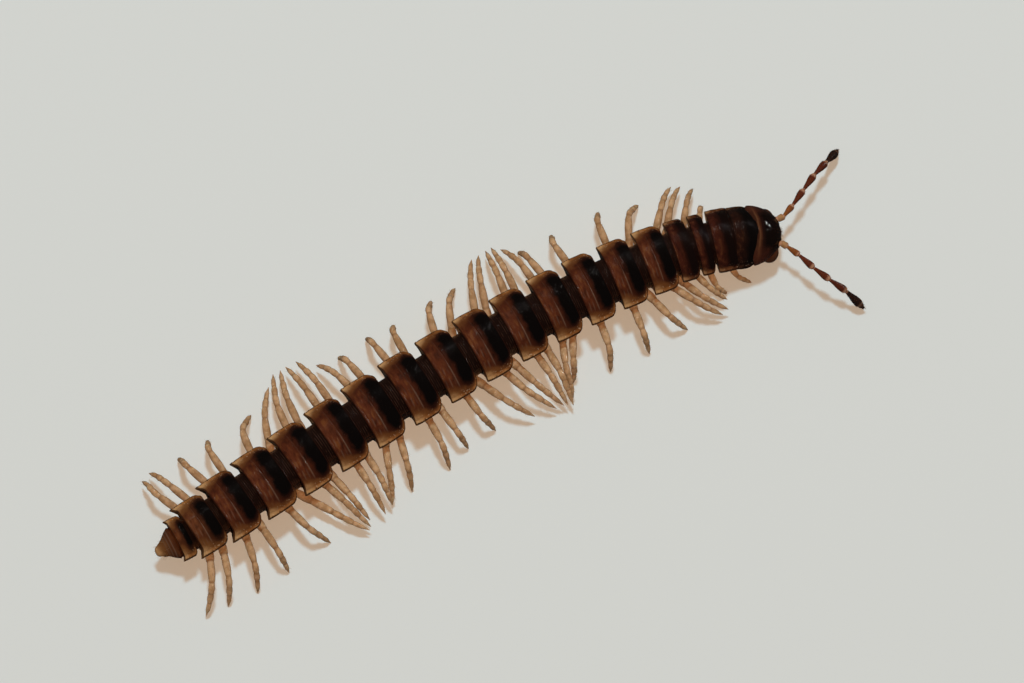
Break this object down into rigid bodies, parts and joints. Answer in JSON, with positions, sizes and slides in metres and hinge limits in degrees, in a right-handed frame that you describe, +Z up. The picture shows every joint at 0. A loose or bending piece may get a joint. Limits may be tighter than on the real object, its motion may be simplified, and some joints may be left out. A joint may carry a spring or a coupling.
{
  "type": "flat-backed millipede",
  "caption": "Life-size still model of an adult male flat-backed millipede, walking, with ringed glossy brown back plates, amber side wings, jointed legs and two feelers.",
  "frame": {"origin": "middle of the part's box, on the floor under the body", "axes": "+X toward the head, +Y toward the animal's left side, +Z up from the floor"},
  "size_m": [0.024, 0.0066, 0.0019],
  "materials": {
    "head_shell": "glossy",
    "feeler_shell": "satin",
    "dark_shell": "glossy",
    "brown_shell": "glossy",
    "amber_shell": "glossy"
  },
  "bodies": {
    "root": {"head": "head_shell", "antenna_left": "feeler_shell", "antenna_right": "feeler_shell", "collum": "dark_shell", "ring_02": "dark_shell", "ring_03": "dark_shell", "ring_04": "dark_shell", "ring_05": "brown_shell", "ring_06": "brown_shell", "ring_07": "brown_shell", "ring_08": "brown_shell", "ring_09": "brown_shell", "ring_10": "brown_shell", "ring_11": "brown_shell", "ring_12": "brown_shell", "ring_13": "brown_shell", "ring_14": "brown_shell", "ring_15": "brown_shell", "ring_16": "brown_shell", "ring_17": "brown_shell", "ring_18": "amber_shell", "ring_19": "amber_shell", "telson": "amber_shell"}
  },
  "joints": []
}
